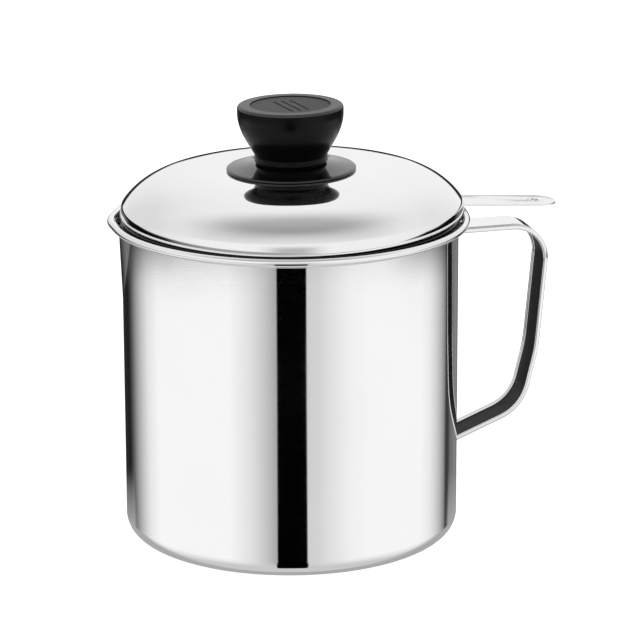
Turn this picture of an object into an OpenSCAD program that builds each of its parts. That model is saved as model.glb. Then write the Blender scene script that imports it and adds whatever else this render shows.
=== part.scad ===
// Grease container: a drawn steel can with a pouring lip and a strap handle,
// a lift-out strainer with its own flat handle, and a lid with a moulded knob.
// Origin: centre of the base. +Z is up, the strap handle points along +X.

/* [Can] */
// Outer diameter of the can wall
can_d = 120.8; // [110:0.2:130]
// Height of the rolled rim above the table
rim_top = 117.15; // [110:0.05:125]
// Sheet thickness of the can
can_sheet = 0.5; // [0.4:0.05:0.6]
// Outer radius of the corner between wall and floor
base_corner = 6.5; // [4:0.5:10]
// Radius of the rolled bead around the mouth
bead_r = 1.4; // [1.2:0.1:1.6]
// How far the mouth flares out below the bead
mouth_flare = 1.8; // [1.5:0.1:2]

/* [Pouring lip] */
// Reach of the lip beyond the centre of the can, over the bead
lip_reach = 65.5; // [65.2:0.1:66]
// Height of the folded lip below the bead
lip_height = 29; // [20:0.5:34]
// How far the lip's ridge stands out from the wall, just under the rim
lip_ridge = 1.05; // [0.8:0.05:1.5]
// Nose radius of the bead at the tip of the lip
lip_nose = 25; // [20:1:30]
// Angle of the lip away from the side opposite the handle
lip_turn = 11; // [0:0.5:14]

/* [Strap handle] */
// Width of the strap
strap_w = 15; // [12:0.5:18]
// Depth of the turned-in edges of the strap
strap_lip = 2; // [1.6:0.1:3]
// Sheet thickness of the strap
strap_sheet = 1; // [0.8:0.1:1.2]
// Reach of the handle from the centre of the can
strap_reach = 94.8; // [88:0.2:100]
// Height of the top of the handle
strap_top = 109.9; // [105:0.1:111]

/* [Strainer] */
// Depth of the mesh bowl
mesh_depth = 24; // [10:1:40]
// Length from the centre of the can to the end of the strainer handle
tab_reach = 99.2; // [90:0.2:110]
// Width of the strainer handle
tab_w = 14; // [10:0.5:15]
// Thickness of the strainer handle
tab_t = 0.9; // [0.8:0.05:0.95]
// Diameter of the hanging hole
hang_d = 4.2; // [3:0.1:5]

/* [Lid] */
// Outer diameter of the lid skirt
lid_d = 122.7; // [122.6:0.05:122.8]
// Height of the flat top of the lid above the table
lid_top = 133.85; // [133:0.05:135]
// Sheet thickness of the lid
lid_sheet = 0.6; // [0.5:0.05:0.6]
// Tilt of the lid, which lies on the strainer handle on one side
lid_tilt = 0.7; // [0.65:0.05:0.75]
// How far the lid lies off centre, towards the strap handle
lid_shift = 0.7; // [0.5:0.1:0.9]

/* [Knob] */
// Largest diameter of the grip
grip_d = 38; // [34:0.5:42]
// Height of the grip above the lid
grip_h = 23.7; // [22:0.1:26]
// Diameter of the guard disc under the grip
guard_d = 46.4; // [44:0.2:50]
// Diameter of the inlaid cap
cap_d = 28.8; // [26:0.2:30]
// Number of grooves in the cap
cap_grooves = 3; // [1:1:5]

/* [Hidden] */
$fn = 96;

// Can
can_r = can_d / 2;
can_in = can_r - can_sheet;
bead_z = rim_top - bead_r;
bead_c = can_in + mouth_flare + bead_r;
flare_z0 = bead_z - 2.4;
flare_z1 = bead_z - 0.4;
curl_r = bead_r - can_sheet / 2;
lip_angle = 180 - lip_turn;
lip_c = lip_reach - bead_r - lip_nose;
lip_half = acos((bead_c - lip_nose) / lip_c);
lip_run = lip_c * sin(lip_half);
lip_lap = 0.3;
lip_wall_tip = lip_reach - 2 * bead_r + can_sheet;
lip_wall_z = bead_z + 0.15;
lip_ridge_r = can_r + lip_ridge;

// Strap handle: the outer face, from the upper end down to the lower one
strap_start = [can_r - 1, strap_top];
strap_bend = [strap_reach, strap_top];
strap_waist = [strap_reach - 3.2, 62];
strap_heel = [strap_reach - 9.2, 40.2];
strap_end = [can_r - 0.2, 29.2];
foot_h = 9;
foot_t = 0.7;

// Strainer
hem_r = can_in + 1.2;
seat_top = rim_top + 0.3;
cup_r = can_in - 2.3;
cup_low = rim_top - 12;
sieve_t = 0.5;
ring_t = 0.6;
clamp_h = 6;
sieve_r = cup_r - can_sheet - sieve_t;
sieve_top = cup_low + clamp_h;
tab_in = cup_r - 2;
tab_flat = 58.8;
tab_peak = 62;
tab_rise = 0.665;
tab_droop = 3.3;
hang_x = tab_reach - 8.4;
groove_x = 74;

// Lid, as it would lie level
skirt_low = rim_top + 1.2;
lid_r = lid_d / 2;
crown_r = 69.6;
crown_a = 12.9;
shoulder_r = 25.6;
shoulder_a = 52;
bend_r = 3;
bend_a = 80;
wall_bow = 12;
lid_flat_r = lid_r - crown_r * sin(crown_a) - shoulder_r * (sin(shoulder_a) - sin(crown_a))
    - bend_r * (sin(bend_a) - sin(shoulder_a)) - wall_bow * (1 - sin(bend_a));

// Knob
grip_r = grip_d / 2;
guard_r = guard_d / 2;
guard_top = lid_top + 2.8;
collar_z = lid_top + 3.3;
collar_r = 13.1;
neck_r = 11.7;
spigot_r = 8;
cap_r = cap_d / 2;
cap_t = 1.6;
cap_sink = 0.4;
grip_top = lid_top + grip_h;
screw_r = 2;
insert_r = 3.6;
insert_top = lid_top + 13;
washer_r = 6.5;
washer_t = 0.8;
head_r = 4.2;
head_h = 2.4;

// ---- Outline helpers -------------------------------------------------------

function unit(v) = v / norm(v);

function turned(list) = [for (i = [len(list) - 1 : -1 : 0]) list[i]];

// Points of an arc about centre c, from angle a0 to a1
function arc(c, r, a0, a1, steps = 6) =
    [for (i = [0 : steps]) let (a = a0 + (a1 - a0) * i / steps) c + r * [cos(a), sin(a)]];

// Points of a cubic curve between p0 and p3
function cubic(p0, p1, p2, p3, steps = 10) =
    [for (i = [0 : steps]) let (t = i / steps, u = 1 - t)
        u * u * u * p0 + 3 * u * u * t * p1 + 3 * u * t * t * p2 + t * t * t * p3];

// Left-hand normal of the segment from a to b
function left_of(a, b) = let (d = unit(b - a)) [-d.y, d.x];

// An open path moved sideways to its left by off, mitred at its corners
function beside(path, off) =
    [for (i = [0 : len(path) - 1]) let (
        n0 = left_of(path[max(i - 1, 0)], path[max(i, 1)]),
        n1 = left_of(path[min(i, len(path) - 2)], path[min(i + 1, len(path) - 1)]),
        m = unit(n0 + n1))
        path[i] + m * off / (m * n0)];

// Sheet metal between two offsets of an open path
module strip_2d(path, from, to) {
    polygon(concat(beside(path, from), turned(beside(path, to))));
}

// A corner at p1 rounded with radius r, between p0 and p2
function rounded(p0, p1, p2, r, steps = 8) = let (
    a = unit(p0 - p1),
    b = unit(p2 - p1),
    half = acos(a * b) / 2,
    c = p1 + unit(a + b) * r / sin(half),
    s = p1 + a * r / tan(half) - c,
    e = p1 + b * r / tan(half) - c,
    a0 = atan2(s.y, s.x),
    swing = atan2(s.x * e.y - s.y * e.x, s * e))
    arc(c, r, a0, a0 + swing, steps);

module lift(z) {
    translate([0, 0, z]) children();
}

// ---- Can -------------------------------------------------------------------

// Wall and floor as an outline of the solid inside the given radius
module can_outline(r, floor_z, corner, top_z) {
    polygon(concat([[0, floor_z]],
        arc([r - corner, floor_z + corner], corner, -90, 0, 8),
        [[r, flare_z0], [r + mouth_flare, flare_z1], [r + mouth_flare, top_z], [0, top_z]]));
}

// Solid of the folded lip. Two flat sides rise from its foot and meet in a ridge, which turns
// out to the rim above the wall. Each row is [height, ridge, side]: the side's edge is in the wall.
module lip_solid(shift, extra) {
    side_a = acos((can_r + mouth_flare) / lip_wall_tip);
    rows = [[flare_z0 - 1, lip_ridge_r, can_r - 0.3],
            [lip_wall_z, lip_wall_tip, can_r + mouth_flare - 0.1],
            [lip_wall_z + extra, lip_wall_tip, can_r + mouth_flare - 0.1]];
    last = extra > 0 ? 2 : 1;
    points = concat([[can_r - 0.1, 0, lip_wall_z - lip_height]],
        [for (i = [0 : last], turn = [0, 1, -1])
            let (r = turn == 0 ? rows[i][1] : rows[i][2])
            [r * cos(turn * side_a), r * sin(turn * side_a), rows[i][0]]]);
    faces = concat([[0, 1, 2], [0, 3, 1], [0, 2, 3]],
        [for (i = [0 : last - 1], f = [[1, 4, 5], [1, 5, 2], [1, 6, 4], [1, 3, 6], [2, 5, 6], [2, 6, 3]])
            [for (p = f) p + 3 * i]],
        [[3 * last + 1, 3 * last + 3, 3 * last + 2]]);
    rotate([0, 0, lip_angle]) translate([shift, 0, 0]) polyhedron(points, faces);
}

// Section of the curled rim, thicker and longer all round by extra
module curl_2d(extra) {
    skin = can_sheet / 2 + extra;
    strip_2d(arc([0, 0], curl_r, 180 + 40 * extra, -110 - 40 * extra, 14), -skin, skin);
}

// The curled rim: round the can, then straight out along the lip and round its tip
module curled_rim() {
    rotate([0, 0, lip_angle + lip_half])
        rotate_extrude(angle = 360 - 2 * lip_half) translate([bead_c, bead_z]) curl_2d(0);
    rotate([0, 0, lip_angle]) {
        for (side = [0, 1]) mirror([0, side, 0])
            rotate([0, 0, lip_half]) translate([bead_c, 0, bead_z]) rotate([90, 0, 0])
                lift(-lip_lap) linear_extrude(lip_run + 2 * lip_lap) curl_2d(0.04);
        translate([lip_c, 0, 0]) rotate([0, 0, -lip_half])
            rotate_extrude(angle = 2 * lip_half) translate([lip_nose, bead_z]) curl_2d(0);
    }
}

module can_shell() color("gainsboro") {
    difference() {
        union() {
            rotate_extrude() can_outline(can_r, 0, base_corner, bead_z);
            lip_solid(0, 0);
        }
        rotate_extrude()
            can_outline(can_in, can_sheet, base_corner - can_sheet, rim_top + 1);
        lip_solid(-can_sheet * 1.04, 2);
    }
    curled_rim();
}

// ---- Strap handle ----------------------------------------------------------

strap_path = concat([strap_start],
    rounded(strap_start, strap_bend, strap_waist, 14),
    rounded(strap_bend, strap_waist, strap_heel, 60, 4),
    rounded(strap_waist, strap_heel, strap_end, 19),
    [strap_end]);

// Part of the strap between two depths, extruded over a band of its width
module strap_band(depth, y0, y1) {
    translate([0, y1, 0]) rotate([90, 0, 0])
        linear_extrude(y1 - y0) strip_2d(strap_path, 0, -depth);
}

// Foot of the strap, turned along the wall and welded to it
module strap_foot(z0) {
    intersection() {
        lift(z0) cylinder(h = foot_h, r = can_r + foot_t);
        translate([can_r - 4, -strap_w / 2, z0]) cube([10, strap_w, foot_h]);
    }
}

module strap_handle() color("silver") {
    edge = strap_w / 2;
    difference() {
        union() {
            strap_band(strap_sheet, -edge, edge);
            strap_band(strap_lip, -edge, strap_sheet - edge);
            strap_band(strap_lip, edge - strap_sheet, edge);
            strap_foot(strap_top - foot_h);
            strap_foot(strap_end.y - foot_h + 2);
        }
        cylinder(h = rim_top, r = can_r);
    }
}

// ---- Strainer --------------------------------------------------------------

module strainer_rim() color("lightgray") {
    skin = can_sheet / 2;
    mid_r = cup_r - skin;
    mid_z = seat_top - skin;
    rotate_extrude() strip_2d(concat(
        [[mid_r, cup_low]],
        arc([mid_r + 0.8, mid_z - 0.8], 0.8, 180, 90, 3),
        arc([hem_r - skin - 0.6, mid_z - 0.6], 0.6, 90, 0, 3),
        [[hem_r - skin, bead_z - 0.6]]), -skin, skin);
}

module strainer_mesh() color("darkgray") {
    bowl_r = (sieve_r * sieve_r + mesh_depth * mesh_depth) / (2 * mesh_depth);
    half = asin(sieve_r / bowl_r);
    rotate_extrude() strip_2d(concat(
        arc([0, cup_low - mesh_depth + bowl_r], bowl_r, -90, half - 90, 10),
        [[sieve_r, sieve_top]]), 0, -sieve_t);
}

module mesh_ring() color("silver") {
    difference() {
        lift(cup_low + 0.5) cylinder(h = clamp_h - 0.5, r = sieve_r);
        lift(cup_low) cylinder(h = clamp_h + 1, r = sieve_r - ring_t);
    }
}

module strainer_handle() color("whitesmoke") {
    tip = [tab_reach, seat_top + tab_rise - (tab_reach - tab_peak) * tan(tab_droop)];
    side = [[tab_in, seat_top], [tab_flat, seat_top], [tab_peak, seat_top + tab_rise], tip];
    end_r = tab_w / 2;
    difference() {
        intersection() {
            translate([0, end_r, 0]) rotate([90, 0, 0])
                linear_extrude(tab_w) strip_2d(side, 0, tab_t);
            lift(seat_top - 5) linear_extrude(10) union() {
                translate([tab_in, -end_r]) square([tab_reach - end_r - tab_in, tab_w]);
                translate([tab_reach - end_r, 0]) circle(end_r);
            }
        }
        translate([hang_x, 0, seat_top - 5]) cylinder(h = 10, d = hang_d);
        translate([tab_peak, 0, seat_top + tab_rise + tab_t]) rotate([0, tab_droop, 0])
            lift(-0.3) linear_extrude(1)
                polygon([[groove_x - tab_peak, 0], [hang_x - tab_peak, -1.6],
                         [hang_x - tab_peak, 1.6]]);
    }
}

// ---- Lid -------------------------------------------------------------------

// Everything on the lid leans with it, about the middle of its skirt, and lies off centre with it
module leaning() {
    translate([lid_shift, 0, skirt_low]) rotate([0, -lid_tilt, 0]) lift(-skirt_low) children();
}

module lid_shell() color("gainsboro") {
    crown_c = [lid_flat_r, lid_top - crown_r];
    shoulder_c = crown_c + (crown_r - shoulder_r) * [sin(crown_a), cos(crown_a)];
    bend_c = shoulder_c + (shoulder_r - bend_r) * [sin(shoulder_a), cos(shoulder_a)];
    wall_c = bend_c + (bend_r - wall_bow) * [sin(bend_a), cos(bend_a)];
    outer = concat(
        [[screw_r + 0.2, lid_top]],
        arc(crown_c, crown_r, 90, 90 - crown_a, 6),
        arc(shoulder_c, shoulder_r, 90 - crown_a - 4, 90 - shoulder_a, 9),
        arc(bend_c, bend_r, 90 - shoulder_a - 7, 90 - bend_a, 4),
        arc(wall_c, wall_bow, (90 - bend_a) / 2, 0, 2),
        [[lid_r, skirt_low]]);
    leaning() rotate_extrude() strip_2d(outer, 0, -lid_sheet);
}

// ---- Knob ------------------------------------------------------------------

module knob_guard() color("#161616") leaning() rotate_extrude() polygon(concat(
    [[spigot_r + 0.05, lid_top], [guard_r - 0.6, lid_top]],
    arc([guard_r - 0.45, lid_top + 0.5], 0.45, -60, 70, 5),
    cubic([guard_r - 1.4, lid_top + 1.1], [guard_r - 5, lid_top + 1.5],
          [neck_r + 3, guard_top - 0.6], [neck_r, guard_top], 6),
    [[spigot_r + 0.05, guard_top]]));

module knob_grip() color("#1c1c1c") leaning() rotate_extrude() polygon(concat(
    [[insert_r, lid_top], [spigot_r, lid_top], [spigot_r, guard_top], [neck_r, guard_top],
     [neck_r + 0.2, collar_z - 0.3], [collar_r, collar_z], [collar_r, collar_z + 2.1]],
    cubic([collar_r - 0.2, collar_z + 2.3], [collar_r + 1.2, collar_z + 5.2],
          [grip_r - 0.1, grip_top - 9.5], [grip_r, grip_top - 3]),
    arc([grip_r - 1.2, grip_top - 1.2], 1.2, 0, 90, 5),
    [[cap_r, grip_top], [cap_r, grip_top - cap_t - cap_sink],
     [insert_r, grip_top - cap_t - cap_sink]]));

module knob_cap() color("#3a3a3a") leaning() {
    cap_z = grip_top - cap_sink;
    difference() {
        lift(cap_z - cap_t) cylinder(h = cap_t, r = cap_r);
        for (i = [0 : cap_grooves - 1])
            rotate([0, 0, -79]) translate([0, (i - (cap_grooves - 1) / 2) * 3.4, cap_z])
                cube([14, 0.7, 0.8], center = true);
    }
}

module knob_insert() color("goldenrod") leaning() difference() {
    lift(lid_top) cylinder(h = insert_top - lid_top, r = insert_r);
    lift(lid_top - 1) cylinder(h = insert_top - lid_top + 2, r = screw_r + 0.05);
}

module lid_screw() color("silver") leaning() {
    under = lid_top - lid_sheet - washer_t;
    lift(under - 0.5) cylinder(h = 11, r = screw_r);
    difference() {
        lift(under - head_h) cylinder(h = head_h, r = head_r);
        for (turn = [0, 90]) lift(under - head_h) rotate([0, 0, turn])
            cube([5, 1, 2.4], center = true);
    }
}

module screw_washer() color("silver") leaning() lift(lid_top - lid_sheet - washer_t)
    difference() {
        cylinder(h = washer_t, r = washer_r);
        lift(-1) cylinder(h = washer_t + 2, r = screw_r + 0.2);
    }

can_shell();
strap_handle();
strainer_rim();
strainer_mesh();
mesh_ring();
strainer_handle();
lid_shell();
knob_guard();
knob_grip();
knob_cap();
knob_insert();
lid_screw();
screw_washer();
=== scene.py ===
"""Looks of the steel grease container: can, strainer and domed lid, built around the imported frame.

Lengths are in millimetres until a mesh is made, and angles in degrees. +Z is up, the strap handle
points along +X, and the origin is the middle of the base, as in the frame.
"""

import math

import bpy
import bmesh
import numpy as np
from mathutils import Matrix, Vector


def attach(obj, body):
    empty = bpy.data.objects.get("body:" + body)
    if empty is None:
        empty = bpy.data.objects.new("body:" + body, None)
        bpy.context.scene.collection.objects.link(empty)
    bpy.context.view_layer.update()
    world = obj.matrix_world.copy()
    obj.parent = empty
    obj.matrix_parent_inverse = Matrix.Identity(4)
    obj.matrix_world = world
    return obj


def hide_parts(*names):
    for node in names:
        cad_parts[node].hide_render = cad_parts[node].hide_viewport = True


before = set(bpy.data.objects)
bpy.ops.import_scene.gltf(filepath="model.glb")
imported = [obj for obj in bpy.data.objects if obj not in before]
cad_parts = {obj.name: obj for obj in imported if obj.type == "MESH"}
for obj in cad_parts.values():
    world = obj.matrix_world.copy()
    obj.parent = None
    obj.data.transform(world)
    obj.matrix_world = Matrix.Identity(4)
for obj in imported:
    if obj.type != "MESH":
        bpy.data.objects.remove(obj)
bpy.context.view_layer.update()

MM = 0.001
FLAT = 35.0  # faces that meet at more than this angle keep a sharp edge
FLOOR_HALF, FLOOR_GLOW = 3000, 0.62  # half the floor's side, and the strength of its own light


# ---- Sizes ---------------------------------------------------------------------------------------
# They are those of the part's own source. Only the strap's path, the hem, the skirt's lower edge
# and the grooves of the cap are drawn a little nearer to the photo.

can_r, sheet, base_corner = 60.4, 0.5, 6.5
can_in = can_r - sheet
rim_top, bead_r, mouth_flare = 117.15, 1.4, 1.8
bead_z = rim_top - bead_r
bead_c = can_in + mouth_flare + bead_r
flare_z0, flare_z1 = bead_z - 2.4, bead_z - 0.4
curl_r = bead_r - sheet / 2

lip_angle, lip_reach, lip_nose = 169.0, 65.5, 25.0
lip_foot_z, lip_ridge, lip_spread = 86.9, 1.05, 19.0
lip_c = lip_reach - bead_r - lip_nose
lip_half = math.degrees(math.acos((bead_c - lip_nose) / lip_c))
lip_tip = lip_reach - 2 * bead_r + sheet

strap_w, strap_lip, strap_sheet = 15.0, 2.0, 1.0
strap_start, strap_bend = (can_r - 1, 109.9), (96.3, 110.4)
strap_waist, strap_heel, strap_end = (91.9, 62.0), (86.5, 39.8), (can_r - 0.2, 29.0)
bend_round, waist_round, heel_round = 13.5, 60.0, 17.5
foot_h, foot_t = 9.0, 0.7
grip_gap = (74.0, 72.0)  # middle of the space between the can and the strap

hem_in = 0.35  # the rolled hem is drawn a little inside its place, clear of the mouth
hem_r, seat_top, cup_r, cup_low = can_in + 1.2, rim_top + 0.3, can_in - 2.3, rim_top - 12
sieve_r, mesh_depth = cup_r - 1.0, 24.0
sieve_top = cup_low + 6
bowl_r = (sieve_r ** 2 + mesh_depth ** 2) / (2 * mesh_depth)
tab_in, tab_flat, tab_peak, tab_reach = cup_r - 2, 58.8, 62.0, 99.2
tab_w, tab_t, tab_rise, tab_droop = 14.0, 0.9, 0.665, 3.3
hang_x, hang_d, groove_x = tab_reach - 8.4, 4.2, 74.0
groove_half, groove_deep = 1.6, 0.45

lid_r, lid_top, lid_sheet, lid_tilt, lid_shift = 61.35, 133.85, 0.6, 0.7, 0.7
skirt_low = rim_top + 1.2
crown_r, crown_a, shoulder_r, shoulder_a = 69.6, 12.9, 25.6, 52.0
bend_r, bend_a, wall_bow, wall_lean = 3.0, 80.0, 12.0, 1.6
roll_r, roll_gap = 0.5, 0.12  # the skirt's lower edge, rolled outward under a small hollow
drop, drop_from, drop_to = 1.35, lid_top - 6.0, skirt_low + 1.5  # the skirt's dip in the mouth
drop_aside = 5.0  # degrees from the camera to its lowest place

grip_r, grip_top, guard_r, guard_top = 19.0, lid_top + 23.7, 23.2, lid_top + 2.8
collar_z, collar_r, neck_r, spigot_r = lid_top + 3.3, 13.1, 11.7, 8.0
cap_r, cap_t, cap_sink, insert_r = 14.4, 1.6, 0.4, 3.6
mark_near, mark_far, mark_half = 9.2, 7.6, 0.5  # reach and half width of the cap's three grooves
mark_pitch, mark_depth, mark_turn = 3.1, 0.4, -80.5


# ---- Viewpoint of the photo ----------------------------------------------------------------------

CAMERA_AZIMUTH = -13.2
CAMERA_ELEVATION = 17.107
CAMERA_DISTANCE = 1217.6
CAMERA_ROLL = -0.295
AIM_HEIGHT = 50.0
FOCAL_PIXELS = 3345.6
PICTURE = 640
AIM_PIXEL = (291.0, 393.7)
SENSOR = 36.0


# ---- Outlines ------------------------------------------------------------------------------------

def arc(cx, cz, r, a0, a1, steps=12):
    """Points of an arc about (cx, cz), from angle a0 to a1."""
    a = np.radians(np.linspace(a0, a1, steps + 1))
    return [(cx + r * math.cos(t), cz + r * math.sin(t)) for t in a]


def cubic(p0, p1, p2, p3, steps=20):
    """Points of a cubic curve from p0 to p3."""
    p0, p1, p2, p3 = (np.array(p, float) for p in (p0, p1, p2, p3))
    t = np.linspace(0, 1, steps + 1)[:, None]
    u = 1 - t
    return [tuple(p) for p in u**3 * p0 + 3 * u * u * t * p1 + 3 * u * t * t * p2 + t**3 * p3]


def rounded(p0, p1, p2, r, steps=24):
    """The corner at p1, between p0 and p2, rounded with radius r."""
    p0, p1, p2 = (np.array(p, float) for p in (p0, p1, p2))
    a = (p0 - p1) / np.linalg.norm(p0 - p1)
    b = (p2 - p1) / np.linalg.norm(p2 - p1)
    half = math.acos(float(a @ b)) / 2
    c = p1 + (a + b) / np.linalg.norm(a + b) * r / math.sin(half)
    s = p1 + a * r / math.tan(half) - c
    e = p1 + b * r / math.tan(half) - c
    a0 = math.degrees(math.atan2(s[1], s[0]))
    swing = math.degrees(math.atan2(s[0] * e[1] - s[1] * e[0], float(s @ e)))
    return arc(c[0], c[1], r, a0, a0 + swing, steps)


def supported(points, closed=False, near=0.3, apart=6.0):
    """Long straight runs get points close to their ends and between, so that shading stays true."""
    pts = [np.array(p, float) for p in points]
    ends = pts[1:] + ([pts[0]] if closed else [])
    out = []
    for p, q in zip(pts, ends):
        out.append(p)
        length = float(np.linalg.norm(q - p))
        if length > 4 * near:
            inner = np.linspace(near, length - near, max(2, int(length / apart) + 2))
            out += [p + (q - p) * s / length for s in inner]
    if not closed:
        out.append(pts[-1])
    return [tuple(p) for p in out]


def beside(path, off):
    """An open path moved to its left by off, mitred at its corners."""
    p = np.array(path, float)
    d = np.diff(p, axis=0)
    d /= np.linalg.norm(d, axis=1)[:, None]
    n = np.stack([-d[:, 1], d[:, 0]], -1)
    n0, n1 = np.vstack([n[:1], n]), np.vstack([n, n[-1:]])
    m = n0 + n1
    m /= np.linalg.norm(m, axis=1)[:, None]
    return p + m * (off / (m * n0).sum(1))[:, None]


def sheet_section(path, left, right, round_steps=4):
    """Closed outline of sheet metal between two offsets of a path, with rounded edges."""
    path = supported(path)
    a, b = beside(path, left), beside(path, right)
    half = (a - b) / 2
    mid = (a + b) / 2
    start = [mid[0] + half[0] * math.cos(t) - np.array([half[0][1], -half[0][0]]) * math.sin(t)
             for t in np.linspace(math.pi, 0, round_steps + 1)[1:-1]]
    end = [mid[-1] + half[-1] * math.cos(t) + np.array([half[-1][1], -half[-1][0]]) * math.sin(t)
           for t in np.linspace(0, math.pi, round_steps + 1)[1:-1]]
    return [tuple(q) for q in [*a, *end, *b[::-1], *start]]


# ---- Meshes --------------------------------------------------------------------------------------

def new_object(name, mesh):
    made = bpy.data.objects.new(name, mesh)
    bpy.context.scene.collection.objects.link(made)
    return made


def cleaned(mesh, weld=2e-7):
    """Joins points that coincide, turns all faces outward and shades the mesh smooth."""
    bm = bmesh.new()
    bm.from_mesh(mesh)
    bmesh.ops.remove_doubles(bm, verts=bm.verts, dist=weld)
    bmesh.ops.dissolve_degenerate(bm, edges=bm.edges, dist=weld)
    bmesh.ops.recalc_face_normals(bm, faces=bm.faces)
    bm.to_mesh(mesh)
    bm.free()
    mesh.shade_smooth()
    mesh.set_sharp_from_angle(angle=math.radians(FLAT))
    return mesh


def grid_mesh(name, rows, around=False, across=False):
    """Mesh over rows of points, closed around its rows and across each row as told."""
    rows = np.asarray(rows, float) * MM
    index = np.arange(rows.shape[0] * rows.shape[1]).reshape(rows.shape[:2])
    if around:
        index = np.vstack([index, index[:1]])
    if across:
        index = np.hstack([index, index[:, :1]])
    quads = np.stack([index[:-1, :-1], index[1:, :-1], index[1:, 1:], index[:-1, 1:]], -1)
    mesh = bpy.data.meshes.new(name)
    mesh.from_pydata(rows.reshape(-1, 3).tolist(), [], quads.reshape(-1, 4).tolist())
    return mesh


def capped(mesh, rings, count):
    """Closes a tube's two end rings, whose points start at the given places, with fans."""
    bm = bmesh.new()
    bm.from_mesh(mesh)
    bm.verts.ensure_lookup_table()
    for first in rings:
        bm.faces.new([bm.verts[first + i] for i in range(count)])
    bm.to_mesh(mesh)
    bm.free()
    return mesh


def revolved(name, outline, steps=256):
    """Solid of a closed outline of (radius, height) turned about the +Z axis."""
    p = np.array(outline, float)
    a = np.radians(np.arange(steps) * 360 / steps)
    rows = np.stack([np.outer(np.cos(a), p[:, 0]), np.outer(np.sin(a), p[:, 0]),
                     np.outer(np.ones(steps), p[:, 1])], -1)
    return new_object(name, cleaned(grid_mesh(name, rows, around=True, across=True)))


def joined(name, objects):
    """One object made of several."""
    bm = bmesh.new()
    for o in objects:
        bm.from_mesh(o.data)
    mesh = bpy.data.meshes.new(name)
    bm.to_mesh(mesh)
    bm.free()
    for o in objects:
        bpy.data.objects.remove(o)
    mesh.shade_smooth()
    mesh.set_sharp_from_angle(angle=math.radians(FLAT))
    return new_object(name, mesh)


def applied(obj):
    """The object with its modifiers made final."""
    bpy.context.view_layer.update()
    deps = bpy.context.evaluated_depsgraph_get()
    mesh = bpy.data.meshes.new_from_object(obj.evaluated_get(deps))
    obj.modifiers.clear()
    obj.data = mesh
    return obj


def combined(obj, other, operation):
    """obj after a boolean with other, which is used up."""
    step = obj.modifiers.new("combine", "BOOLEAN")
    step.operation, step.object, step.solver = operation, other, "EXACT"
    applied(obj)
    bpy.data.objects.remove(other)
    return obj


def softened(obj, width, segments=3, angle=30):
    """Rounds the edges of a hard-edged mesh."""
    bevel = obj.modifiers.new("edges", "BEVEL")
    bevel.width, bevel.segments = width * MM, segments
    bevel.limit_method, bevel.angle_limit = "ANGLE", math.radians(angle)
    bevel.harden_normals = False
    applied(obj)
    obj.data.shade_smooth()
    obj.data.set_sharp_from_angle(angle=math.radians(FLAT))
    return obj


def prism(name, outline, low, high, axis="z"):
    """Solid of a flat outline. Axis z stands it on the XY plane, axis y lays it along Y."""
    n = len(outline)
    rows = [[(p[0], p[1], h) if axis == "z" else (p[0], h, p[1]) for p in outline]
            for h in (low, high)]
    mesh = capped(grid_mesh(name, rows, across=True), (0, n), n)
    return new_object(name, cleaned(mesh))


def lean_with_lid(obj):
    """Tilts a piece with the lid, which lies on the strainer's handle and a little off centre."""
    low = Vector((0, 0, skirt_low * MM))
    aside = Vector((lid_shift * MM, 0, 0))
    turn = Matrix.Rotation(math.radians(-lid_tilt), 4, "Y")
    obj.data.transform(Matrix.Translation(low + aside) @ turn @ Matrix.Translation(-low))
    return obj


# ---- Materials -----------------------------------------------------------------------------------

class Nodes:
    """Short ways to add nodes to a material or a world."""

    def __init__(self, tree):
        self.tree = tree
        tree.nodes.clear()

    def add(self, kind, **settings):
        node = self.tree.nodes.new(kind)
        for key, value in settings.items():
            setattr(node, key, value)
        return node

    def join(self, out, into):
        self.tree.links.new(out, into)

    def put(self, socket, value):
        """Sets a socket to a number or colour, or joins another node's output to it."""
        if hasattr(value, "links"):
            self.join(value, socket)
        else:
            socket.default_value = value

    def math(self, operation, a, b=0.0, clamp=False):
        node = self.add("ShaderNodeMath", operation=operation, use_clamp=clamp)
        self.put(node.inputs[0], a)
        self.put(node.inputs[1], b)
        return node.outputs[0]

    def spread(self, value, low, high, to_low=0.0, to_high=1.0, smooth=False):
        """The value's place between low and high, as a number from to_low to to_high."""
        node = self.add("ShaderNodeMapRange")
        node.interpolation_type = "SMOOTHSTEP" if smooth else "LINEAR"
        self.put(node.inputs["Value"], value)
        for key, number in zip(("From Min", "From Max", "To Min", "To Max"),
                               (low, high, to_low, to_high)):
            self.put(node.inputs[key], number)
        return node.outputs["Result"]

    def noise(self, vector, scale, detail=4.0, rough=0.5):
        node = self.add("ShaderNodeTexNoise")
        self.join(vector, node.inputs["Vector"])
        node.inputs["Scale"].default_value = scale
        node.inputs["Detail"].default_value = detail
        node.inputs["Roughness"].default_value = rough
        return node.outputs["Fac"]

    def stretched(self, vector, scale):
        node = self.add("ShaderNodeMapping")
        self.join(vector, node.inputs["Vector"])
        node.inputs["Scale"].default_value = scale
        return node.outputs["Vector"]

    def ramp(self, value, stops):
        """A ramp of greys between stops of (place, level)."""
        node = self.add("ShaderNodeValToRGB")
        self.join(value, node.inputs[0])
        points = node.color_ramp.elements
        while len(points) < len(stops):
            points.new(0.5)
        for point, (place, level) in zip(points, stops):
            point.position = place
            point.color = (level, level, level, 1)
        return node.outputs[0]

    def grey_colour(self, level):
        """A grey whose level comes from another node."""
        node = self.add("ShaderNodeCombineColor")
        for socket in node.inputs:
            self.join(level, socket)
        return node.outputs[0]

    def blend(self, share, a, b):
        """a where share is 0, b where it is 1."""
        node = self.add("ShaderNodeMix", data_type="RGBA")
        self.put(node.inputs[0], share)
        for socket, value in ((node.inputs[6], a), (node.inputs[7], b)):
            self.put(socket, value if hasattr(value, "links") else (*value, 1))
        return node.outputs[2]


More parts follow.
